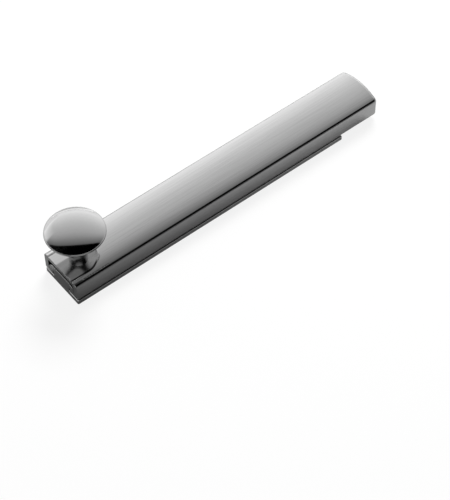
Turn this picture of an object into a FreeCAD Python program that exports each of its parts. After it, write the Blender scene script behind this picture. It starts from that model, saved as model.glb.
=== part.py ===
import FreeCAD, Part
import math
import os
import Sketcher

# Surface bolt for a door or a cabinet: a domed bar that slides along a T-shaped rail.
# The frame: X runs along the bar and points the way the bolt is thrown, Z stands up from
# the door, and the origin is the centre of the rail's back face. Lengths are millimetres.

# Driving sizes

SIZES = (
    ("base_length", 133.35, "rail and its plate, end to end"),
    ("base_width", 21.5, "plate, edge to edge"),
    ("plate_thickness", 2.2, "plate that lies on the door"),
    ("plate_corner_round", 0.5, "plate's corners, seen from above"),
    ("plate_edge_round", 0.8, "plate's upper edge"),
    ("neck_width", 10.0, "rail between the plate and the head"),
    ("head_width", 16.1, "rail's head"),
    ("head_thickness", 3.2, "rail's head, bottom to top"),
    ("head_round", 3.0, "upper long edges of the head"),
    ("bar_length", 152.4, "bar, end to end"),
    ("bar_width", 21.3, "bar, side to side"),
    ("side_height", 7.75, "side of the bar, up to where the dome would meet it"),
    ("dome_rise", 2.7, "crown of the bar above its sides"),
    ("crown_edge_round", 1.6, "edge between dome and sides, and round the nose"),
    ("nose_corner_round", 1.8, "upright corners of the nose"),
    ("foot_edge_round", 0.35, "lower long edges of the bar"),
    ("edge_break", 0.2, "polished edges of the rear end, the thumb pad and the head's ends"),
    ("bar_gap", 0.6, "bar's foot above the plate"),
    ("lip_thickness", 1.8, "lips that reach under the head"),
    ("lift_clearance", 0.1, "lips below the head"),
    ("side_clearance", 0.25, "channel beside the head"),
    ("neck_clearance", 0.3, "lips beside the neck"),
    ("slit_height", 1.4, "gap over the head that the leaf spring keeps"),
    ("channel_round", 1.2, "upper corners of the channel"),
    ("pad_web", 1.9, "metal left between the thumb pad and the channel"),
    ("pad_radius", 8.0, "end mill that cut the thumb pad"),
    ("pad_setback", 8.2, "middle of the thumb pad's round end from the bar's rear end"),
    ("throw_length", 19.05, "travel of the bar"),
    ("knob_setback", 8.76, "knob's axis from the bar's rear end"),
    ("knob_diameter", 23.8, "rim of the knob"),
    ("knob_rim_height", 16.8, "top of the knob's rim above the thumb pad"),
    ("rim_thickness", 0.9, "upright edge of the knob"),
    ("rim_edge_round", 0.4, "upper edge of the rim, and the bevel under it"),
    ("knob_crown", 3.4, "knob's centre above its rim"),
    ("stem_diameter", 7.6, "knob's foot"),
    ("stem_straight", 0.8, "straight part of the stem above the pad"),
    ("screw_diameter", 4.0, "thread of the knob's screw"),
    ("screw_tap_clearance", 0.02, "thread in its hole, all round"),
    ("screw_engagement", 9.0, "screw inside the knob"),
    ("screw_end_clearance", 0.6, "end of the screw below the bottom of its hole"),
    ("tip_diameter", 3.2, "plain tip that runs in the rail"),
    ("tip_length", 3.0, "plain tip below the thread"),
    ("tip_bevel", 0.3, "edge of the tip"),
    ("screw_bevel", 0.4, "edge of the screw's upper end"),
    ("drill_point_angle", 118.0, "bottom of the knob's hole"),
    ("driver_slot_width", 0.8, "screwdriver slot"),
    ("driver_slot_depth", 1.2, "screwdriver slot"),
    ("stop_depth", 2.4, "blind slot in the head"),
    ("stop_clearance", 0.15, "tip in its slot, all round"),
    ("hole_diameter", 4.5, "door screws, a number 8 passes"),
    ("countersink_diameter", 8.6, "heads of the door screws"),
    ("countersink_angle", 82.0, "heads of the door screws"),
    ("rear_hole_setback", 40.0, "first door screw from the rear end"),
    ("front_hole_setback", 12.0, "last door screw from the front end"),
    ("spring_thickness", 0.4, "leaf spring"),
    ("spring_width", 6.0, "leaf spring"),
    ("spring_length", 26.0, "leaf spring, end to end"),
    ("spring_foot", 3.2, "flat foot at each end of the leaf"),
    ("spring_end_flat", 0.4, "flat left between the leaf's rounded corners"),
    ("spring_seat_depth", 0.8, "recess that holds the leaf"),
    ("spring_seat_clearance", 0.35, "leaf in its recess, all round"),
    ("spring_top_clearance", 0.05, "crown of the leaf below the channel's roof"),
)

# Places and sizes that follow from the driving ones

LAYOUT = (
    ("half_base", "sizes.base_length / 2"),
    ("half_plate", "sizes.base_width / 2"),
    ("half_head", "sizes.head_width / 2"),
    ("half_neck", "sizes.neck_width / 2"),
    ("bar_foot", "sizes.plate_thickness + sizes.bar_gap"),
    ("lip_top", "layout.bar_foot + sizes.lip_thickness"),
    ("head_bottom", "layout.lip_top + sizes.lift_clearance"),
    ("head_top", "layout.head_bottom + sizes.head_thickness"),
    ("shoulder_height", "layout.head_top - sizes.head_round"),
    ("head_flat", "layout.half_head - sizes.head_round"),
    ("channel_roof", "layout.head_top + sizes.slit_height"),
    ("pad_level", "layout.channel_roof + sizes.pad_web"),
    ("half_side", "sizes.bar_width / 2"),
    ("crown_height", "sizes.side_height + sizes.dome_rise"),
    ("dome_radius", "(layout.half_side ^ 2 + sizes.dome_rise ^ 2) / (2 * sizes.dome_rise)"),
    ("half_channel", "layout.half_head + sizes.side_clearance"),
    ("half_mouth", "layout.half_neck + sizes.neck_clearance"),
    ("channel_low", "layout.lip_top - layout.bar_foot"),
    ("channel_high", "layout.channel_roof - layout.bar_foot"),
    ("channel_side_top", "layout.channel_high - sizes.channel_round"),
    ("channel_flat", "layout.half_channel - sizes.channel_round"),
    ("pad_in_bar", "layout.pad_level - layout.bar_foot"),
    ("knob_place", "sizes.knob_setback - layout.half_base"),
    ("knob_reach", "sizes.knob_diameter / 2"),
    ("rim_low", "sizes.knob_rim_height - sizes.rim_thickness"),
    ("rim_side_low", "layout.rim_low + sizes.rim_edge_round"),
    ("rim_side_high", "sizes.knob_rim_height - sizes.rim_edge_round"),
    ("knob_top", "sizes.knob_rim_height + sizes.knob_crown"),
    ("stem_reach", "sizes.stem_diameter / 2"),
    ("crown_reach", "layout.knob_reach - sizes.rim_edge_round"),
    ("cove_across", "layout.crown_reach - layout.stem_reach"),
    ("cove_up", "layout.rim_low - sizes.stem_straight"),
    ("cove_radius", "(layout.cove_across ^ 2 + layout.cove_up ^ 2) / (2 * layout.cove_across)"),
    ("crown_radius", "(layout.crown_reach ^ 2 + sizes.knob_crown ^ 2) / (2 * sizes.knob_crown)"),
    ("screw_reach", "sizes.screw_diameter / 2"),
    ("tapped_reach", "layout.screw_reach + sizes.screw_tap_clearance"),
    ("tapped_diameter", "layout.tapped_reach * 2"),
    ("tapped_depth", "sizes.screw_engagement + sizes.screw_end_clearance"),
    ("drill_tip", "layout.tapped_depth + layout.tapped_reach / tan(sizes.drill_point_angle / 2 * 1 deg)"),
    ("thread_end", "sizes.screw_engagement - sizes.screw_bevel"),
    ("screw_flat_reach", "layout.screw_reach - sizes.screw_bevel"),
    ("half_driver_slot", "sizes.driver_slot_width / 2"),
    ("driver_slot_floor", "sizes.screw_engagement - sizes.driver_slot_depth"),
    ("tip_reach", "sizes.tip_diameter / 2"),
    ("tip_top", "-sizes.pad_web"),
    ("tip_bottom", "-sizes.pad_web - sizes.tip_length"),
    ("tip_side_low", "layout.tip_bottom + sizes.tip_bevel"),
    ("tip_flat_reach", "layout.tip_reach - sizes.tip_bevel"),
    ("stop_reach", "layout.tip_reach + sizes.stop_clearance"),
    ("stop_rear", "layout.knob_place"),
    ("stop_front", "layout.knob_place + sizes.throw_length"),
    ("rear_hole", "sizes.rear_hole_setback - layout.half_base"),
    ("front_hole", "layout.half_base - sizes.front_hole_setback"),
    ("middle_hole", "(layout.rear_hole + layout.front_hole) / 2"),
    ("spring_place", "(layout.rear_hole + layout.middle_hole) / 2"),
    ("half_spring", "sizes.spring_length / 2"),
    ("half_spring_width", "sizes.spring_width / 2"),
    ("seat_reach", "layout.half_spring_width + sizes.spring_seat_clearance"),
    ("seat_run", "layout.half_spring + sizes.spring_seat_clearance - layout.seat_reach"),
    ("seat_rear", "layout.spring_place - layout.seat_run"),
    ("seat_front", "layout.spring_place + layout.seat_run"),
    ("seat_floor", "layout.head_top - sizes.spring_seat_depth"),
    ("leaf_corner_round", "(sizes.spring_width - sizes.spring_end_flat) / 2"),
    ("bow_run", "layout.half_spring - sizes.spring_foot"),
    ("bow_top", "layout.channel_roof - sizes.spring_top_clearance - layout.seat_floor"),
    ("bow_rise", "layout.bow_top - sizes.spring_thickness"),
    ("bow_radius", "(layout.bow_run ^ 2 + layout.bow_rise ^ 2) / (2 * layout.bow_rise)"),
)

CLEAR_OF_ALL = 60.0  # a cut this long passes right through any piece
NEAR = 0.01  # two places closer than this are the same place

doc = FreeCAD.newDocument("surface_bolt")


def make_sheet(name, rows):
    """A spreadsheet with one named cell to a row: the name in column A and the value in column B."""
    sheet = doc.addObject("Spreadsheet::Sheet", name)
    for number, row in enumerate(rows, start=1):
        sheet.set("A%d" % number, row[0])
        value = row[1]
        sheet.set("B%d" % number, "=" + value if isinstance(value, str) else str(value))
        sheet.setAlias("B%d" % number, row[0])
        if len(row) > 2:
            sheet.set("C%d" % number, row[2])
        doc.recompute()
    return sheet


sizes = make_sheet("sizes", SIZES)
layout = make_sheet("layout", LAYOUT)


# Sketching


def value_of(term):
    """The number that a term such as "layout.half_side" or "-sizes.bar_width" stands for."""
    if isinstance(term, (int, float)):
        return float(term)
    sign = -1.0 if term.startswith("-") else 1.0
    sheet_name, alias = term.lstrip("-").split(".")
    sheet = sizes if sheet_name == "sizes" else layout
    return sign * float(getattr(sheet, alias))


def vector(point):
    """A sketch point, given as two terms, as a vector."""
    return FreeCAD.Vector(value_of(point[0]), value_of(point[1]), 0)


def new_body(label, place=("0", "0", "0")):
    """A body whose origin stands where the three expressions say."""
    body = doc.addObject("PartDesign::Body", label)
    body.Label = label
    for axis, expression in zip("xyz", place):
        if expression != "0":
            body.setExpression("Placement.Base." + axis, expression)
    return body


def new_sketch(body, name, plane, height=None):
    """A sketch on one of the body's own planes, moved along that plane's normal by an expression."""
    sketch = body.newObject("Sketcher::SketchObject", name)
    support = [part for part in body.Origin.OriginFeatures if part.Role == plane][0]
    sketch.AttachmentSupport = [(support, "")]
    sketch.MapMode = "FlatFace"
    if height is not None:
        sketch.setExpression("AttachmentOffset.Base.z", height)
    doc.recompute()
    return sketch


def bind_distance(sketch, kind, geometry, position, term):
    """Ties one coordinate of a sketch point to the sheet. Points on an axis are put on that axis."""
    value = value_of(term)
    if abs(value) < NEAR and isinstance(term, (int, float)):
        axis = -2 if kind == "DistanceX" else -1
        sketch.addConstraint(Sketcher.Constraint("PointOnObject", geometry, position, axis))
        return
    index = sketch.addConstraint(Sketcher.Constraint(kind, -1, 1, geometry, position, value))
    if isinstance(term, str):
        sketch.setExpression("Constraints[%d]" % index, term)


def draw_outline(sketch, corners, arcs=None, half_circles=None):
    """A closed outline through the corners, each tied to the sheet. A side is numbered by the
    corner it starts from. arcs gives, for a side that is an arc, the point in its middle and the
    term of its radius, and half_circles the point in its middle and the term of its centre's X.
    A sketch keeps every arc anticlockwise, so a clockwise side is drawn from its far end."""
    arcs = arcs or {}
    half_circles = half_circles or {}
    curved = {**arcs, **half_circles}
    points = [vector(corner) for corner in corners]
    count = len(points)
    first_end = []
    for side in range(count):
        start = points[side]
        end = points[(side + 1) % count]
        if side not in curved:
            sketch.addGeometry(Part.LineSegment(start, end))
            first_end.append(1)
            continue
        middle = curved[side][0]
        clockwise = middle.sub(start).cross(end.sub(middle)).z < 0
        if clockwise:
            sketch.addGeometry(Part.Arc(end, middle, start))
            first_end.append(2)
        else:
            sketch.addGeometry(Part.Arc(start, middle, end))
            first_end.append(1)
    for side in range(count):
        other = (side + 1) % count
        last_end = 3 - first_end[side]
        sketch.addConstraint(Sketcher.Constraint("Coincident", side, last_end, other, first_end[other]))
    for side in range(count):
        bind_distance(sketch, "DistanceX", side, first_end[side], corners[side][0])
        bind_distance(sketch, "DistanceY", side, first_end[side], corners[side][1])
    for side, (middle, radius) in arcs.items():
        index = sketch.addConstraint(Sketcher.Constraint("Radius", side, value_of(radius)))
        sketch.setExpression("Constraints[%d]" % index, radius)
    for side, (middle, centre) in half_circles.items():
        bind_distance(sketch, "DistanceX", side, 3, centre)
    doc.recompute()


def draw_circle(sketch, across, up, diameter):
    """A circle with its centre and its diameter tied to the sheet."""
    centre = vector((across, up))
    circle = sketch.addGeometry(Part.Circle(centre, FreeCAD.Vector(0, 0, 1), value_of(diameter) / 2))
    bind_distance(sketch, "DistanceX", circle, 3, across)
    bind_distance(sketch, "DistanceY", circle, 3, up)
    index = sketch.addConstraint(Sketcher.Constraint("Diameter", circle, value_of(diameter)))
    sketch.setExpression("Constraints[%d]" % index, diameter)
    doc.recompute()


def bulge(start, end, radius, side):
    """The middle point of an arc from start to end. side is 1 for an arc that bulges to the left
    of the way from start to end, and -1 for one that bulges to the right."""
    from_point = vector(start)
    to_point = vector(end)
    chord = to_point.sub(from_point)
    half = chord.Length / 2
    reach = value_of(radius)
    rise = reach - math.sqrt(max(reach * reach - half * half, 0.0))
    left = FreeCAD.Vector(-chord.y, chord.x, 0).normalize()
    return from_point.add(chord.multiply(0.5)).add(left.multiply(side * rise))


def draw_slot(sketch, rear, front, reach):
    """A slot along X with a half circle at each end, as an end mill leaves it."""
    low = "-" + reach
    corners = [(rear, low), (front, low), (front, reach), (rear, reach)]
    front_middle = FreeCAD.Vector(value_of(front) + value_of(reach), 0, 0)
    rear_middle = FreeCAD.Vector(value_of(rear) - value_of(reach), 0, 0)
    draw_outline(sketch, corners, half_circles={1: (front_middle, front), 3: (rear_middle, rear)})


# Features


def pad(body, sketch, name, length, midplane=False):
    """Grows the sketch along its normal, or to both sides of its plane."""
    feature = body.newObject("PartDesign::Pad", name)
    feature.Profile = sketch
    feature.setExpression("Length", length)
    feature.Midplane = midplane
    doc.recompute()
    return feature


def pocket(body, sketch, name, length, reverse=False, midplane=False):
    """Cuts the sketch into the body, against its normal, or along it when reversed."""
    feature = body.newObject("PartDesign::Pocket", name)
    feature.Profile = sketch
    if isinstance(length, str):
        feature.setExpression("Length", length)
    else:
        feature.Length = length
    feature.Reversed = reverse
    feature.Midplane = midplane
    doc.recompute()
    return feature


def turn(body, kind, sketch, name):
    """Spins the sketch a full turn about its own upright axis, to add metal or to cut it."""
    feature = body.newObject("PartDesign::" + kind, name)
    feature.Profile = sketch
    feature.ReferenceAxis = (sketch, ["V_Axis"])
    feature.Angle = 360.0
    doc.recompute()
    return feature


def round_edges(body, name, base, radius, wanted):
    """Rounds those edges of the base feature that the test picks out."""
    names = []
    for number, edge in enumerate(base.Shape.Edges, start=1):
        if wanted(edge):
            names.append("Edge%d" % number)
    feature = body.newObject("PartDesign::Fillet", name)
    feature.Base = (base, names)
    feature.setExpression("Radius", radius)
    doc.recompute()
    return feature


def upright(edge):
    """Is this a straight edge along Z?"""
    ends = [vertex.Point for vertex in edge.Vertexes]
    if len(ends) != 2:
        return False
    level = math.hypot(ends[0].x - ends[1].x, ends[0].y - ends[1].y)
    return level < NEAR and abs(ends[0].z - ends[1].z) > NEAR


# Base rail: a thin plate and a T-shaped rail, milled from one bar. The head carries the blind
# slot that stops the bolt, the leaf spring's recess and three countersunk screw holes.


def make_base_rail():
    body = new_body("base_rail")

    outline = new_sketch(body, "plate_outline", "XY_Plane")
    draw_outline(
        outline,
        [
            ("-layout.half_base", "-layout.half_plate"),
            ("layout.half_base", "-layout.half_plate"),
            ("layout.half_base", "layout.half_plate"),
            ("-layout.half_base", "layout.half_plate"),
        ],
    )
    plate = pad(body, outline, "plate", "sizes.plate_thickness")
    corner_rounds = round_edges(body, "plate_corners", plate, "sizes.plate_corner_round", upright)

    top = value_of("sizes.plate_thickness")

    def on_plate_top(edge):
        return abs(edge.BoundBox.ZMin - top) < NEAR

    round_edges(body, "plate_edges", corner_rounds, "sizes.plate_edge_round", on_plate_top)

    section = new_sketch(body, "rail_section", "YZ_Plane")
    rounded_low = ("layout.half_head", "layout.shoulder_height")
    rounded_high = ("layout.head_flat", "layout.head_top")
    section_corners = [
        ("-layout.half_neck", 0.0),
        ("layout.half_neck", 0.0),
        ("layout.half_neck", "layout.head_bottom"),
        ("layout.half_head", "layout.head_bottom"),
        rounded_low,
        rounded_high,
        ("-layout.head_flat", "layout.head_top"),
        ("-layout.half_head", "layout.shoulder_height"),
        ("-layout.half_head", "layout.head_bottom"),
        ("-layout.half_neck", "layout.head_bottom"),
    ]
    right_bulge = bulge(rounded_low, rounded_high, "sizes.head_round", -1)
    left_bulge = FreeCAD.Vector(-right_bulge.x, right_bulge.y, 0)
    draw_outline(
        section,
        section_corners,
        {4: (right_bulge, "sizes.head_round"), 6: (left_bulge, "sizes.head_round")},
    )
    rail = pad(body, section, "rail", "sizes.base_length", midplane=True)

    end_place = value_of("layout.half_base")
    head_bottom = value_of("layout.head_bottom")

    def at_head_ends(edge):
        box = edge.BoundBox
        at_end = box.XLength < NEAR and abs(abs(box.Center.x) - end_place) < NEAR
        return at_end and box.ZMin > head_bottom - NEAR

    round_edges(body, "head_ends", rail, "sizes.edge_break", at_head_ends)

    stop_outline = new_sketch(body, "stop_outline", "XY_Plane", "layout.head_top")
    draw_slot(stop_outline, "layout.stop_rear", "layout.stop_front", "layout.stop_reach")
    pocket(body, stop_outline, "stop_slot", "sizes.stop_depth")

    seat_outline = new_sketch(body, "seat_outline", "XY_Plane", "layout.head_top")
    draw_slot(seat_outline, "layout.seat_rear", "layout.seat_front", "layout.seat_reach")
    pocket(body, seat_outline, "spring_seat", "sizes.spring_seat_depth")

    centres = new_sketch(body, "screw_centres", "XY_Plane", "layout.head_top")
    for place in ("layout.rear_hole", "layout.middle_hole", "layout.front_hole"):
        draw_circle(centres, place, 0.0, "sizes.hole_diameter")
    holes = body.newObject("PartDesign::Hole", "screw_holes")
    holes.Profile = centres
    holes.DepthType = "ThroughAll"
    holes.setExpression("Diameter", "sizes.hole_diameter")
    holes.HoleCutType = "Countersink"
    holes.HoleCutCustomValues = True
    holes.setExpression("HoleCutCountersinkAngle", "sizes.countersink_angle")
    holes.setExpression("HoleCutDiameter", "sizes.countersink_diameter")
    doc.recompute()
    body.Tip = holes
    return body


# Slide bar: a domed bar with flat sides. A T-slot cutter has run in from the rear end and left
# the channel with a round end, so the nose beyond it is solid. An end mill has cut the thumb
# pad down through the dome at the rear end, and the web under it is tapped for the screw.


def channel_arcs():
    """The two upper corners of the channel, as draw_outline takes them."""
    low = ("layout.half_channel", "layout.channel_side_top")
    high = ("layout.channel_flat", "layout.channel_high")
    right = bulge(low, high, "sizes.channel_round", -1)
    left = FreeCAD.Vector(-right.x, right.y, 0)
    return {4: (right, "sizes.channel_round"), 6: (left, "sizes.channel_round")}


def make_slide_bar():
    body = new_body("slide_bar", ("-layout.half_base", "0", "layout.bar_foot"))

    section = new_sketch(body, "bar_section", "YZ_Plane")
    left = ("-layout.half_side", "sizes.side_height")
    right = ("layout.half_side", "sizes.side_height")
    crown = FreeCAD.Vector(0, value_of("layout.crown_height"), 0)
    draw_outline(
        section,
        [("-layout.half_side", 0.0), ("layout.half_side", 0.0), right, left],
        {2: (crown, "layout.dome_radius")},
    )
    blank = pad(body, section, "blank", "sizes.bar_length")

    nose = value_of("sizes.bar_length")
    half_side = value_of("layout.half_side")
    side_height = value_of("sizes.side_height")

    def at_nose(edge):
        return upright(edge) and abs(edge.BoundBox.XMax - nose) < NEAR

    corners = round_edges(body, "nose_corners", blank, "sizes.nose_corner_round", at_nose)

    def round_the_top(edge):
        box = edge.BoundBox
        above_side = box.ZMin > side_height - NEAR
        along_side = box.XLength > nose / 2 and abs(abs(box.Center.y) - half_side) < NEAR
        beside_nose = box.XMin > nose / 2
        return above_side and (along_side or beside_nose)

    crown_edges = round_edges(body, "crown_edges", corners, "sizes.crown_edge_round", round_the_top)

    def along_foot(edge):
        box = edge.BoundBox
        return box.ZMax < NEAR and (box.XLength > nose / 2 or box.XMin > nose / 2)

    round_edges(body, "foot_edges", crown_edges, "sizes.foot_edge_round", along_foot)

    mouth = new_sketch(body, "mouth_section", "YZ_Plane")
    draw_outline(
        mouth,
        [
            ("-layout.half_mouth", 0.0),
            ("layout.half_mouth", 0.0),
            ("layout.half_mouth", "layout.channel_low"),
            ("layout.half_channel", "layout.channel_low"),
            ("layout.half_channel", "layout.channel_side_top"),
            ("layout.channel_flat", "layout.channel_high"),
            ("-layout.channel_flat", "layout.channel_high"),
            ("-layout.half_channel", "layout.channel_side_top"),
            ("-layout.half_channel", "layout.channel_low"),
            ("-layout.half_mouth", "layout.channel_low"),
        ],
        channel_arcs(),
    )
    pocket(body, mouth, "channel", "sizes.base_length", reverse=True)

    cutter = new_sketch(body, "cutter_profile", "XZ_Plane")
    cutter.setExpression("AttachmentOffset.Base.x", "sizes.base_length")
    doc.recompute()
    draw_outline(
        cutter,
        [
            (0.0, 0.0),
            ("layout.half_mouth", 0.0),
            ("layout.half_mouth", "layout.channel_low"),
            ("layout.half_channel", "layout.channel_low"),
            ("layout.half_channel", "layout.channel_side_top"),
            ("layout.channel_flat", "layout.channel_high"),
            (0.0, "layout.channel_high"),
        ],
        {4: channel_arcs()[4]},
    )
    turn(body, "Groove", cutter, "channel_end")

    pad_outline = new_sketch(body, "pad_outline", "XY_Plane", "layout.pad_in_bar")
    front_middle = FreeCAD.Vector(value_of("sizes.pad_setback") + value_of("sizes.pad_radius"), 0, 0)
    draw_outline(
        pad_outline,
        [
            ("-sizes.pad_radius", "-sizes.pad_radius"),
            ("sizes.pad_setback", "-sizes.pad_radius"),
            ("sizes.pad_setback", "sizes.pad_radius"),
            ("-sizes.pad_radius", "sizes.pad_radius"),
        ],
        half_circles={1: (front_middle, "sizes.pad_setback")},
    )
    pocket(body, pad_outline, "thumb_pad", CLEAR_OF_ALL, reverse=True)

    pad_cut = body.Tip
    pad_level = value_of("layout.pad_in_bar")
    pad_reach = value_of("sizes.pad_radius")

    def at_rear_or_round_pad(edge):
        box = edge.BoundBox
        at_rear = box.XMax < NEAR
        above_pad = box.ZMin > pad_level + NEAR
        round_pad = above_pad and box.YLength > NEAR and box.XMax < nose / 2
        along_pad = above_pad and abs(abs(box.Center.y) - pad_reach) < NEAR
        return at_rear or round_pad or along_pad

    round_edges(body, "rear_edges", pad_cut, "sizes.edge_break", at_rear_or_round_pad)

    tapping = new_sketch(body, "tapping", "XY_Plane")
    draw_circle(tapping, "sizes.knob_setback", 0.0, "layout.tapped_diameter")
    tapped = pocket(body, tapping, "tapped_hole", CLEAR_OF_ALL, reverse=True)
    body.Tip = tapped
    return body


# Knob: turned in one piece. A straight foot stands on the thumb pad, a long cove flares out
# under a thin rim, and the crown is a shallow part of a ball. Its foot is drilled for the screw.


def make_knob():
    body = new_body("knob", ("layout.knob_place", "0", "layout.pad_level"))
    profile = new_sketch(body, "knob_profile", "XZ_Plane")
    cove_start = ("layout.stem_reach", "sizes.stem_straight")
    cove_end = ("layout.crown_reach", "layout.rim_low")
    rim_top = ("layout.crown_reach", "sizes.knob_rim_height")
    corners = [
        ("layout.tapped_reach", 0.0),
        ("layout.stem_reach", 0.0),
        cove_start,
        cove_end,
        ("layout.knob_reach", "layout.rim_side_low"),
        ("layout.knob_reach", "layout.rim_side_high"),
        rim_top,
        (0.0, "layout.knob_top"),
        (0.0, "layout.drill_tip"),
        ("layout.tapped_reach", "layout.tapped_depth"),
    ]
    crown_peak = (0.0, "layout.knob_top")
    draw_outline(
        profile,
        corners,
        {
            2: (bulge(cove_start, cove_end, "layout.cove_radius", 1), "layout.cove_radius"),
            5: (bulge(corners[5], corners[6], "sizes.rim_edge_round", -1), "sizes.rim_edge_round"),
            6: (bulge(rim_top, crown_peak, "layout.crown_radius", -1), "layout.crown_radius"),
        },
    )
    body.Tip = turn(body, "Revolution", profile, "turned_knob")
    return body


# Knob screw: a headless screw with a plain tip. It pulls the knob down on the bar, and its tip
# runs in the rail's blind slot, whose two ends stop the bolt.


def make_knob_screw():
    body = new_body("knob_screw", ("layout.knob_place", "0", "layout.pad_level"))
    profile = new_sketch(body, "screw_profile", "XZ_Plane")
    draw_outline(
        profile,
        [
            (0.0, "layout.tip_bottom"),
            ("layout.tip_flat_reach", "layout.tip_bottom"),
            ("layout.tip_reach", "layout.tip_side_low"),
            ("layout.tip_reach", "layout.tip_top"),
            ("layout.screw_reach", "layout.tip_top"),
            ("layout.screw_reach", "layout.thread_end"),
            ("layout.screw_flat_reach", "sizes.screw_engagement"),
            (0.0, "sizes.screw_engagement"),
        ],
    )
    turn(body, "Revolution", profile, "turned_screw")
    driver = new_sketch(body, "driver_slot_section", "YZ_Plane")
    draw_outline(
        driver,
        [
            ("-layout.half_driver_slot", "layout.driver_slot_floor"),
            ("layout.half_driver_slot", "layout.driver_slot_floor"),
            ("layout.half_driver_slot", "layout.tapped_depth"),
            ("-layout.half_driver_slot", "layout.tapped_depth"),
        ],
    )
    body.Tip = pocket(body, driver, "driver_slot", CLEAR_OF_ALL, midplane=True)
    return body


# Friction spring: a strip of spring bronze, bowed upwards, with a flat foot at each end. It lies
# loose in its recess, and the bar that passes over it keeps it there.


def make_friction_spring():
    body = new_body("friction_spring", ("layout.spring_place", "0", "layout.seat_floor"))
    profile = new_sketch(body, "leaf_profile", "XZ_Plane")
    under_left = ("-layout.bow_run", 0.0)
    under_right = ("layout.bow_run", 0.0)
    over_right = ("layout.bow_run", "sizes.spring_thickness")
    over_left = ("-layout.bow_run", "sizes.spring_thickness")
    under_peak = FreeCAD.Vector(0, value_of("layout.bow_rise"), 0)
    over_peak = FreeCAD.Vector(0, value_of("layout.bow_top"), 0)
    draw_outline(
        profile,
        [
            ("-layout.half_spring", 0.0),
            under_left,
            under_right,
            ("layout.half_spring", 0.0),
            ("layout.half_spring", "sizes.spring_thickness"),
            over_right,
            over_left,
            ("-layout.half_spring", "sizes.spring_thickness"),
        ],
        {1: (under_peak, "layout.bow_radius"), 5: (over_peak, "layout.bow_radius")},
    )
    leaf = pad(body, profile, "leaf", "sizes.spring_width", midplane=True)
    body.Tip = round_edges(body, "leaf_corners", leaf, "layout.leaf_corner_round", upright)
    return body


bodies = [make_base_rail(), make_friction_spring(), make_slide_bar(), make_knob(), make_knob_screw()]
doc.recompute()

# Checks, then the files

faults = []
for item in doc.Objects:
    if "Invalid" in item.State or "Error" in item.State:
        faults.append("%s is %s" % (item.Label, ", ".join(item.State)))
for body in bodies:
    if body.Shape.isNull() or not body.Shape.isValid() or len(body.Shape.Solids) != 1:
        faults.append("%s isn't one valid solid" % body.Label)
if faults:
    raise RuntimeError("; ".join(faults))

os.makedirs("parts", exist_ok=True)
for body in bodies:
    body.Shape.exportStep(os.path.join("parts", body.Label + ".step"))
    box = body.Shape.BoundBox
    print(
        "%s: %.1f mm3, X %.3f to %.3f, Y %.3f to %.3f, Z %.3f to %.3f"
        % (body.Label, body.Shape.Volume, box.XMin, box.XMax, box.YMin, box.YMax, box.ZMin, box.ZMax)
    )
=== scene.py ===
# Surface bolt in polished chrome plate, drawn back, on a pale table under a soft roof light.
# Metres, in the part's own frame: X runs the way the bolt is thrown, Z stands up from its back.

import math

import bpy
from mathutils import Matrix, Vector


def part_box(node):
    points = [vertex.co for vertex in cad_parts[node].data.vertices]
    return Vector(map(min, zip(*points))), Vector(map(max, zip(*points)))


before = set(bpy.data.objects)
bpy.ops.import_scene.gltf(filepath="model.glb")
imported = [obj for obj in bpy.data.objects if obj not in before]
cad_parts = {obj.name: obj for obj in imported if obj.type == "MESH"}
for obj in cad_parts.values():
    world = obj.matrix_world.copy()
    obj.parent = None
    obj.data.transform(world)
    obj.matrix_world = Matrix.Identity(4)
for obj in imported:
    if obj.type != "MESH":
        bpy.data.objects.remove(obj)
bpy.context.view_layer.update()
bpy.ops.object.select_all(action="DESELECT")


# Base rail. A thin plate with a T-shaped rail, milled in one piece from brass bar, polished and
# chrome plated. It is screwed down to the door through three countersunk holes in its head.

LINE_DETAIL = 3.0
LINE_HARSHNESS = 0.7
SMEARS_PER_METRE = 60.0
SMEAR_DETAIL = 4.0
SMEAR_CURL = 0.6
NOISE_MEAN = 0.5


def make_material(name):
    """A new material with its node tree."""
    material = bpy.data.materials.new(name)
    material.use_nodes = True
    return material


def feed(tree, socket, value):
    """Set a socket to a number or a colour, or link another node's output to it."""
    if isinstance(value, bpy.types.NodeSocket):
        tree.links.new(value, socket)
    else:
        socket.default_value = value


def add_math(tree, operation, *values):
    """The result of a Math node that takes the values in their order."""
    node = tree.nodes.new("ShaderNodeMath")
    node.operation = operation
    for socket, value in zip(node.inputs, values):
        feed(tree, socket, value)
    return node.outputs[0]


def add_mix(tree, kind, share, first, second, blend="MIX"):
    """A number (kind FLOAT) or a colour (kind RGBA) between the first and the second."""
    node = tree.nodes.new("ShaderNodeMix")
    node.data_type = kind
    node.blend_type = blend
    feed(tree, node.inputs["Factor"], share)
    feed(tree, node.inputs["A"], first)
    feed(tree, node.inputs["B"], second)
    return node.outputs["Result"]


def add_bump(tree, height, depth):
    """A Bump node. depth is how many metres a height of 1 stands up."""
    node = tree.nodes.new("ShaderNodeBump")
    node.inputs["Strength"].default_value = 1.0
    node.inputs["Distance"].default_value = depth
    tree.links.new(height, node.inputs["Height"])
    return node


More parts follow.
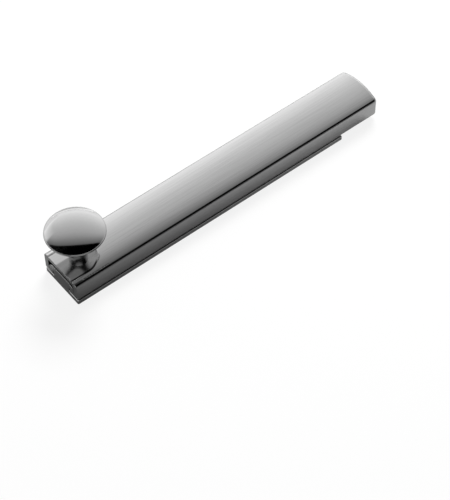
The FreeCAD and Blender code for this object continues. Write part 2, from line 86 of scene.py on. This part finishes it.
def make_polish_marks():
    """A node group for polished metal: the faint lines that the last wheel left, and broad smears
    from wiping. It puts out a roughness, a height, and a shade that varies round 1."""
    group = bpy.data.node_groups.new("polish_marks", "ShaderNodeTree")
    for name in ("Place", "Line Lay"):
        group.interface.new_socket(name, in_out="INPUT", socket_type="NodeSocketVector")
    for name in ("Roughness", "Line Shade"):
        group.interface.new_socket(name, in_out="INPUT", socket_type="NodeSocketFloat")
    for name in ("Roughness", "Height", "Shade"):
        group.interface.new_socket(name, in_out="OUTPUT", socket_type="NodeSocketFloat")
    given = group.nodes.new("NodeGroupInput")
    result = group.nodes.new("NodeGroupOutput")

    laid = group.nodes.new("ShaderNodeVectorMath")
    laid.operation = "MULTIPLY"
    group.links.new(given.outputs["Place"], laid.inputs[0])
    group.links.new(given.outputs["Line Lay"], laid.inputs[1])
    lines = group.nodes.new("ShaderNodeTexNoise")
    lines.inputs["Scale"].default_value = 1.0
    lines.inputs["Detail"].default_value = LINE_DETAIL
    lines.inputs["Roughness"].default_value = LINE_HARSHNESS
    group.links.new(laid.outputs[0], lines.inputs["Vector"])
    line = lines.outputs["Fac"]

    smears = group.nodes.new("ShaderNodeTexNoise")
    smears.inputs["Scale"].default_value = SMEARS_PER_METRE
    smears.inputs["Detail"].default_value = SMEAR_DETAIL
    smears.inputs["Distortion"].default_value = SMEAR_CURL
    group.links.new(given.outputs["Place"], smears.inputs["Vector"])

    smooth = given.outputs["Roughness"]
    unevenness = add_math(group, "MULTIPLY", line, smears.outputs["Fac"])
    rougher = add_math(group, "MULTIPLY_ADD", unevenness, smooth, smooth)
    from_mean = add_math(group, "SUBTRACT", line, NOISE_MEAN)
    shade = add_math(group, "MULTIPLY_ADD", from_mean, given.outputs["Line Shade"], 1.0)
    group.links.new(rougher, result.inputs["Roughness"])
    group.links.new(line, result.inputs["Height"])
    group.links.new(shade, result.inputs["Shade"])
    return group


polish_marks = make_polish_marks()


def make_polished_metal(name, colour, roughness, line_lay, line_depth, line_shade):
    """A bare or plated metal. line_lay is how many polish lines there are to a metre along X, Y
    and Z, so they run the way that has fewest. line_shade is how far they shade the metal."""
    material = make_material(name)
    tree = material.node_tree
    place = tree.nodes.new("ShaderNodeTexCoord")
    place.name = "place"
    marks = tree.nodes.new("ShaderNodeGroup")
    marks.name = "marks"
    marks.node_tree = polish_marks
    marks.inputs["Line Lay"].default_value = line_lay
    marks.inputs["Roughness"].default_value = roughness
    marks.inputs["Line Shade"].default_value = line_shade
    tree.links.new(place.outputs["Object"], marks.inputs["Place"])
    shaded = add_mix(tree, "RGBA", 1.0, colour, marks.outputs["Shade"], blend="MULTIPLY")
    shaded.node.name = "shaded"
    bump = add_bump(tree, marks.outputs["Height"], line_depth)
    bump.name = "line_bump"

    surface = tree.nodes["Principled BSDF"]
    surface.inputs["Metallic"].default_value = 1.0
    tree.links.new(shaded, surface.inputs["Base Color"])
    tree.links.new(marks.outputs["Roughness"], surface.inputs["Roughness"])
    tree.links.new(bump.outputs["Normal"], surface.inputs["Normal"])
    return material


def give_finish(node_name, finish):
    """Make a finish the only material of one of the frame's nodes."""
    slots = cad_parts[node_name].data.materials
    slots.clear()
    slots.append(finish)


rail_finish = make_polished_metal(
    "rail_chrome",
    colour=(0.78, 0.78, 0.78, 1.0),
    roughness=0.06,
    line_lay=(60.0, 3000.0, 3000.0),
    line_depth=4e-8,
    line_shade=0.3,
)
give_finish("base_rail", rail_finish)


# Friction spring. A bowed strip of spring bronze, rolled and left bare, in a recess of the rail's
# head. It presses the bar upwards, so that the bolt stays where it is put.

spring_finish = make_polished_metal(
    "spring_bronze",
    colour=(0.72, 0.47, 0.24, 1.0),
    roughness=0.22,
    line_lay=(80.0, 2500.0, 2500.0),
    line_depth=2e-7,
    line_shade=0.3,
)
give_finish("friction_spring", spring_finish)


# Slide bar. A domed brass bar with flat sides, milled out underneath to wrap round the rail, and
# cut down at its rear end for the thumb. Polished lengthways on a wheel and chrome plated.

BAR_CHROME = (0.78, 0.78, 0.78, 1.0)

# The thumb pad's floor is level with the knob's foot, as flat as stated, and ends in a half circle
PAD_SETBACK = 0.0082
PAD_RADIUS = 0.008
PAD_FLATNESS = 0.00005
# Painted shade: on the near side the milled floor's colour is darker than the chrome
PAD_MILLED_SHADED_CHROME = (0.38, 0.38, 0.38, 1.0)
PAD_MILLED_ROUGHNESS = 0.12
PAD_POLISHED_SIDE = 0.0027
PAD_POLISHED_FADE = 0.0006
# Painted shade: the milled floor's near inside corner is coloured nearly black
PAD_CORNER_PAINTED_SHADE = (0.03, 0.03, 0.03, 1.0)
PAD_CORNER_WIDTH = 0.0008
PAD_CORNER_FADE = 0.0003
PAD_CORNER_STARTS = -0.0045
PAD_CORNER_FULL = -0.006
# Metres that the pad falls away, for the square of the metres from its middle line
PAD_FALL = 8.0

# The channel's roof stands a slit above the rail. Its walls count as inside, to a thin skin
CHANNEL_HALF_WIDTH = 0.0083
SLIT_HEIGHT = 0.0014
CHANNEL_SKIN = 0.00002
# Painted shade: the inside of the channel is coloured dark
CHANNEL_PAINTED_SHADE = (0.1, 0.1, 0.1, 1.0)
CHANNEL_ROUGHNESS = 0.3

bar_rear_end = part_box("slide_bar")[0][0]
pad_middle = bar_rear_end + PAD_SETBACK
pad_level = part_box("knob")[0][2]
channel_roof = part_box("base_rail")[1][2] + SLIT_HEIGHT


def add_ramp(tree, value, start, end, low=0.0, high=1.0, way="SMOOTHSTEP"):
    """A value that goes from low to high while the given one goes from start to end."""
    node = tree.nodes.new("ShaderNodeMapRange")
    node.interpolation_type = way
    node.inputs["From Min"].default_value = start
    node.inputs["From Max"].default_value = end
    node.inputs["To Min"].default_value = low
    node.inputs["To Max"].default_value = high
    tree.links.new(value, node.inputs["Value"])
    return node.outputs["Result"]


def add_product(tree, first, *others):
    """The product of two or more values, such as what masks have in common."""
    product = first
    for other in others:
        product = add_math(tree, "MULTIPLY", product, other)
    return product


bar_finish = make_polished_metal(
    "bar_chrome",
    colour=BAR_CHROME,
    roughness=0.06,
    line_lay=(50.0, 3000.0, 3000.0),
    line_depth=4e-8,
    line_shade=0.35,
)
bar_tree = bar_finish.node_tree
bar_nodes = bar_tree.nodes
bar_place = bar_nodes.new("ShaderNodeSeparateXYZ")
bar_tree.links.new(bar_nodes["place"].outputs["Object"], bar_place.inputs[0])
along = bar_place.outputs["X"]
across = bar_place.outputs["Y"]
upward = bar_place.outputs["Z"]

# The wheel polished the pad's far side and left the milled floor dull on its near side. There its
# colour is also painted darker, as shade
at_pad_level = add_math(bar_tree, "COMPARE", upward, pad_level, PAD_FLATNESS)
behind_pad_end = add_math(bar_tree, "LESS_THAN", along, pad_middle + PAD_RADIUS)
on_pad = add_product(bar_tree, at_pad_level, behind_pad_end)
unpolished_shaded_side = add_ramp(
    bar_tree,
    across,
    PAD_POLISHED_SIDE + PAD_POLISHED_FADE,
    PAD_POLISHED_SIDE - PAD_POLISHED_FADE,
)
milled_shaded_pad = add_product(bar_tree, on_pad, unpolished_shaded_side)
pad_colour = add_mix(bar_tree, "RGBA", milled_shaded_pad, BAR_CHROME, PAD_MILLED_SHADED_CHROME)

# The floor's inside corner on the near side is painted nearly black, as shade. The corner is a
# distance from the pad's middle line and, round the pad's end, from the middle of the half circle
past_middle = add_math(bar_tree, "SUBTRACT", along, pad_middle)
along_round = add_math(bar_tree, "MAXIMUM", past_middle, 0.0)
from_middle = bar_nodes.new("ShaderNodeCombineXYZ")
bar_tree.links.new(along_round, from_middle.inputs["X"])
bar_tree.links.new(across, from_middle.inputs["Y"])
middle_distance = bar_nodes.new("ShaderNodeVectorMath")
middle_distance.operation = "LENGTH"
bar_tree.links.new(from_middle.outputs[0], middle_distance.inputs[0])
corner_edge = PAD_RADIUS - PAD_CORNER_WIDTH
in_corner = add_ramp(
    bar_tree,
    middle_distance.outputs["Value"],
    corner_edge - PAD_CORNER_FADE,
    corner_edge,
)
near_side = add_ramp(bar_tree, across, PAD_CORNER_STARTS, PAD_CORNER_FULL)
painted_corner_shade = add_product(bar_tree, milled_shaded_pad, near_side, in_corner)
corner_shade_colour = add_mix(bar_tree, "RGBA", painted_corner_shade, pad_colour, PAD_CORNER_PAINTED_SHADE)

# Inside the channel the plating is thin and unpolished too, and its colour is painted dark, as
# shade
off_middle = add_math(bar_tree, "ABSOLUTE", across)
between_sides = add_math(bar_tree, "LESS_THAN", off_middle, CHANNEL_HALF_WIDTH + CHANNEL_SKIN)
under_roof = add_math(bar_tree, "LESS_THAN", upward, channel_roof + CHANNEL_SKIN)
inside_end = add_math(bar_tree, "GREATER_THAN", along, bar_rear_end + CHANNEL_SKIN)
in_channel = add_product(bar_tree, between_sides, under_roof, inside_end)
bar_colour = add_mix(bar_tree, "RGBA", in_channel, corner_shade_colour, CHANNEL_PAINTED_SHADE)
bar_tree.links.new(bar_colour, bar_nodes["shaded"].inputs["A"])

polished_roughness = bar_nodes["marks"].outputs["Roughness"]
channel_roughness = add_math(
    bar_tree, "MULTIPLY_ADD", in_channel, CHANNEL_ROUGHNESS, polished_roughness
)
bar_roughness = add_math(
    bar_tree, "MULTIPLY_ADD", milled_shaded_pad, PAD_MILLED_ROUGHNESS, channel_roughness
)
bar_tree.links.new(bar_roughness, bar_nodes["Principled BSDF"].inputs["Roughness"])

# The wheel also dubbed the pad over, so that it falls away a little to either side
pad_drop = add_product(bar_tree, across, across, on_pad)
pad_bump = add_bump(bar_tree, pad_drop, PAD_FALL)
pad_bump.invert = True
bar_tree.links.new(pad_bump.outputs["Normal"], bar_nodes["line_bump"].inputs["Normal"])

give_finish("slide_bar", bar_finish)


# Knob. Turned from brass in one piece, with a shallow crown, a thin rim and a long cove down to
# its foot, then polished all ways and chrome plated. It stands on the thumb pad.

knob_finish = make_polished_metal(
    "knob_chrome",
    colour=(0.74, 0.74, 0.74, 1.0),
    roughness=0.05,
    line_lay=(900.0, 900.0, 900.0),
    line_depth=2e-8,
    line_shade=0.06,
)
give_finish("knob", knob_finish)


# Knob screw. A headless steel screw, turned and left bright, that pulls the knob down on the bar.
# Its plain tip runs in the rail's slot and stops the bolt at both ends of its travel.

screw_finish = make_polished_metal(
    "screw_steel",
    colour=(0.56, 0.56, 0.57, 1.0),
    roughness=0.25,
    line_lay=(2000.0, 2000.0, 2000.0),
    line_depth=2e-7,
    line_shade=0.3,
)
give_finish("knob_screw", screw_finish)


# Table. A plain pale top that the bolt's back face lies on. Seen straight it is almost white and
# keeps the bolt's faint shadow. The metal shows it with painted shade: greyer, darkest just in
# front of the bolt, lighter behind it.

TABLE_COLOUR = (0.95, 0.95, 0.95, 1.0)
TABLE_WIDTH = 8.0
TABLE_WHITE_SEEN = 0.85
TABLE_PAINTED_GLOW_SHARE = 0.3
# The studio's four sides, as azimuths. The photograph was taken from its front
ROOM_BACK = math.radians(49.75)
ROOM_FRONT = ROOM_BACK + math.pi
ROOM_LEFT = ROOM_BACK + math.pi / 2
ROOM_RIGHT = ROOM_BACK - math.pi / 2
# Painted shade and light of the table as the metal shows it, by the distance towards the back
TABLE_SHADE = (
    (-1.2, 0.5),
    (-0.5, 0.35),
    (-0.25, 0.03),
    (-0.19, 0.02),
    (-0.12, 0.06),
    (-0.055, 0.145),
    (-0.012, 0.22),
    (0.04, 0.33),
    (0.08, 0.42),
    (0.2, 0.66),
    (0.35, 0.76),
    (0.7, 0.66),
)


def add_distance(tree, azimuth, unit):
    """How far a place of the studio is from its middle towards an azimuth, in units of unit."""
    place = tree.nodes.new("ShaderNodeTexCoord")
    node = tree.nodes.new("ShaderNodeVectorMath")
    node.operation = "DOT_PRODUCT"
    node.inputs[1].default_value = (math.cos(azimuth) / unit, math.sin(azimuth) / unit, 0.0)
    tree.links.new(place.outputs["Object"], node.inputs[0])
    return node.outputs["Value"]


def add_fade(tree, distance, stops):
    """A value that goes in straight lines from stop to stop as the distance grows."""
    first = stops[0][0]
    last = stops[-1][0]
    node = tree.nodes.new("ShaderNodeFloatCurve")
    points = node.mapping.curves[0].points
    for place, value in stops[1:-1]:
        points.new((place - first) / (last - first), value)
    points[0].location = (0.0, stops[0][1])
    points[-1].location = (1.0, stops[-1][1])
    for point in points:
        point.handle_type = "VECTOR"
    node.mapping.update()
    share = add_ramp(tree, distance, first, last, way="LINEAR")
    tree.links.new(share, node.inputs["Value"])
    return node.outputs["Value"]


def add_shader_mix(tree, share, first, second):
    """A shader between the first and the second."""
    node = tree.nodes.new("ShaderNodeMixShader")
    feed(tree, node.inputs["Fac"], share)
    tree.links.new(first, node.inputs[1])
    tree.links.new(second, node.inputs[2])
    return node.outputs["Shader"]


table_paper = make_material("pale_table")
table_tree = table_paper.node_tree
table_nodes = table_tree.nodes
table_surface = table_nodes["Principled BSDF"]
table_surface.inputs["Base Color"].default_value = TABLE_COLOUR
table_surface.inputs["Roughness"].default_value = 1.0
table_surface.inputs["Specular IOR Level"].default_value = 0.0
table_white = table_nodes.new("ShaderNodeEmission")
table_seen = add_shader_mix(
    table_tree,
    TABLE_WHITE_SEEN,
    table_surface.outputs["BSDF"],
    table_white.outputs["Emission"],
)

table_behind = add_distance(table_tree, ROOM_BACK, unit=1.0)
table_shade = add_fade(table_tree, table_behind, TABLE_SHADE)
table_lit = table_nodes.new("ShaderNodeBsdfDiffuse")
table_tree.links.new(table_shade, table_lit.inputs["Color"])
# Painted light: part of the table as the metal shows it glows evenly in its painted shade
table_painted_glow = table_nodes.new("ShaderNodeEmission")
table_tree.links.new(table_shade, table_painted_glow.inputs["Color"])
table_mirrored_painted = add_shader_mix(
    table_tree,
    TABLE_PAINTED_GLOW_SHARE,
    table_lit.outputs["BSDF"],
    table_painted_glow.outputs["Emission"],
)

table_rays = table_nodes.new("ShaderNodeLightPath")
table_look = add_shader_mix(
    table_tree, table_rays.outputs["Is Camera Ray"], table_mirrored_painted, table_seen
)
table_tree.links.new(table_look, table_nodes["Material Output"].inputs["Surface"])

bpy.ops.mesh.primitive_plane_add(size=TABLE_WIDTH, location=(0.0, 0.0, 0.0))
table = bpy.context.object
table.name = "table"
table.data.materials.append(table_paper)


# Key lamp. A square softbox behind the bolt and well above it, so the bolt's shadow falls
# towards the front. The metal doesn't show the lamp itself.

KEY_DISTANCE = 1.2
KEY_ELEVATION = math.radians(52.0)
KEY_AZIMUTH = math.radians(36.0)
KEY_WIDTH = 0.5
KEY_POWER = 16.0

bpy.ops.object.light_add(
    type="AREA",
    location=(
        KEY_DISTANCE * math.cos(KEY_ELEVATION) * math.cos(KEY_AZIMUTH),
        KEY_DISTANCE * math.cos(KEY_ELEVATION) * math.sin(KEY_AZIMUTH),
        KEY_DISTANCE * math.sin(KEY_ELEVATION),
    ),
    rotation=(math.pi / 2 - KEY_ELEVATION, 0.0, KEY_AZIMUTH + math.pi / 2),
)
key_lamp = bpy.context.object
key_lamp.name = "key_softbox"
key_lamp.data.size = KEY_WIDTH
key_lamp.data.energy = KEY_POWER
key_lamp.visible_glossy = False
key_lamp.visible_camera = False


# Studio roof. A flat light over the table, brightest far at the back, that fades towards the
# front and ends just in front of the bolt, sooner at its sides than in the middle. A second light
# grows brighter to the left of it, and past a dark gap the roof glows dimly again at the front.

ROOF_HEIGHT = 0.5
ROOF_WIDTH = 6.0
# Distances on the roof are in roof heights from its middle, apart from the front glow's end, which
# is metres along X. The front edge recedes by the turn for each height to the right, and by the
# bend for its square
ROOF_EDGE_TURN = 0.16
ROOF_EDGE_BEND = 0.25
# The left light grows from faint to full with the distance to the left, and has a soft front edge
LEFT_GLOW_FAINT = 0.3
LEFT_GLOW_STARTS = 0.3
LEFT_GLOW_FULL = 2.7
LEFT_GLOW_EDGE = 0.1
LEFT_GLOW_EDGE_WIDTH = 0.5
FRONT_GLOW = 0.38
FRONT_GLOW_STARTS = -0.65
FRONT_GLOW_FULL = -1.0
FRONT_GLOW_END_X = 0.2
FRONT_GLOW_END_WIDTH = 0.15
# How bright the roof is, by the distance towards the back
ROOF_LIGHT = (
    (-0.215, 0.0),
    (-0.185, 0.13),
    (0.0, 0.25),
    (0.14, 0.36),
    (0.3, 0.45),
    (0.55, 0.53),
    (0.8, 0.59),
    (1.1, 0.66),
    (1.5, 0.74),
    (2.2, 0.82),
    (4.0, 0.92),
    (6.0, 1.0),
)

roof_glow = make_material("roof_glow")
roof_tree = roof_glow.node_tree
roof_nodes = roof_tree.nodes
roof_nodes.remove(roof_nodes["Principled BSDF"])
roof_behind = add_distance(roof_tree, ROOM_BACK, ROOF_HEIGHT)

roof_right = add_distance(roof_tree, ROOM_RIGHT, ROOF_HEIGHT)
edge_slope = add_math(roof_tree, "MULTIPLY_ADD", roof_right, ROOF_EDGE_BEND, ROOF_EDGE_TURN)
edge_recess = add_product(roof_tree, roof_right, edge_slope)
behind_edge = add_math(roof_tree, "SUBTRACT", roof_behind, edge_recess)
main_light = add_fade(roof_tree, behind_edge, ROOF_LIGHT)

front_glow = add_ramp(
    roof_tree, roof_behind, FRONT_GLOW_STARTS, FRONT_GLOW_FULL, high=FRONT_GLOW
)
front_end = add_ramp(
    roof_tree,
    add_distance(roof_tree, azimuth=0.0, unit=1.0),
    FRONT_GLOW_END_X,
    FRONT_GLOW_END_X - FRONT_GLOW_END_WIDTH,
)
main_and_front = add_math(roof_tree, "MULTIPLY_ADD", front_glow, front_end, main_light)

left_glow = add_ramp(
    roof_tree,
    add_distance(roof_tree, ROOM_LEFT, ROOF_HEIGHT),
    LEFT_GLOW_STARTS,
    LEFT_GLOW_FULL,
    low=LEFT_GLOW_FAINT,
    way="LINEAR",
)
left_edge = add_ramp(
    roof_tree, roof_behind, LEFT_GLOW_EDGE, LEFT_GLOW_EDGE + LEFT_GLOW_EDGE_WIDTH
)
left_light = add_product(roof_tree, left_glow, left_edge)

roof_light = roof_nodes.new("ShaderNodeEmission")
roof_strength = add_math(roof_tree, "MAXIMUM", main_and_front, left_light)
roof_tree.links.new(roof_strength, roof_light.inputs["Strength"])
roof_tree.links.new(roof_light.outputs["Emission"], roof_nodes["Material Output"].inputs["Surface"])

bpy.ops.mesh.primitive_plane_add(size=ROOF_WIDTH, location=(0.0, 0.0, ROOF_HEIGHT))
roof = bpy.context.object
roof.name = "studio_roof"
roof.data.materials.append(roof_glow)
roof.visible_camera = False
roof.visible_shadow = False


# Cloths. They hang round the table and are seen only in the metal: black at the front, nearly
# black on the right and pale on the left.

CLOTH_WIDTH = 6.0
CLOTH_PLACES = (
    ("front_cloth", ROOM_FRONT, 2.9, 0.0),
    ("right_cloth", ROOM_RIGHT, 1.5, 0.1),
    ("left_cloth", ROOM_LEFT, 1.5, 0.85),
)

for cloth_name, azimuth, distance, glow in CLOTH_PLACES:
    cloth_material = make_material(cloth_name)
    cloth_surface = cloth_material.node_tree.nodes["Principled BSDF"]
    cloth_surface.inputs["Base Color"].default_value = (0.0, 0.0, 0.0, 1.0)
    cloth_surface.inputs["Specular IOR Level"].default_value = 0.0
    cloth_surface.inputs["Emission Color"].default_value = (1.0, 1.0, 1.0, 1.0)
    cloth_surface.inputs["Emission Strength"].default_value = glow
    bpy.ops.mesh.primitive_plane_add(
        size=CLOTH_WIDTH,
        location=(distance * math.cos(azimuth), distance * math.sin(azimuth), 0.0),
        rotation=(math.pi / 2, 0.0, azimuth + math.pi / 2),
    )
    cloth = bpy.context.object
    cloth.name = cloth_name
    cloth.data.materials.append(cloth_material)
    cloth.visible_camera = False
    cloth.visible_shadow = False
    cloth.visible_diffuse = False


# World. White where it is seen, a little less where it is mirrored, and a soft grey fill for the
# rest.

WORLD_FILL = 0.3
WORLD_MIRRORED = 0.95
WORLD_SEEN = 1.0

world = bpy.data.worlds.new("studio_world")
world.use_nodes = True
world_tree = world.node_tree
world_rays = world_tree.nodes.new("ShaderNodeLightPath")
passed_on = add_math(
    world_tree,
    "MAXIMUM",
    world_rays.outputs["Is Glossy Ray"],
    world_rays.outputs["Is Transmission Ray"],
)
not_seen = add_mix(world_tree, "FLOAT", passed_on, WORLD_FILL, WORLD_MIRRORED)
world_strength = add_mix(
    world_tree, "FLOAT", world_rays.outputs["Is Camera Ray"], not_seen, WORLD_SEEN
)
world_background = world_tree.nodes["Background"]
world_background.inputs["Color"].default_value = (1.0, 1.0, 1.0, 1.0)
world_tree.links.new(world_strength, world_background.inputs["Strength"])
bpy.context.scene.world = world
bpy.context.scene.view_settings.view_transform = "Standard"


# Camera. It stands where the photograph was taken from, above the bolt's rear corner, and has a
# long lens.

CAMERA_PLACE = (-0.253702, -0.346062, 0.525723)
CAMERA_TURN = (math.radians(37.585), math.radians(0.708), math.radians(-38.530))
CAMERA_LENS = 121.98
CAMERA_SENSOR = 36.0

bpy.ops.object.camera_add(location=CAMERA_PLACE, rotation=CAMERA_TURN)
camera = bpy.context.object
camera.data.lens = CAMERA_LENS
camera.data.sensor_width = CAMERA_SENSOR
bpy.context.scene.camera = camera
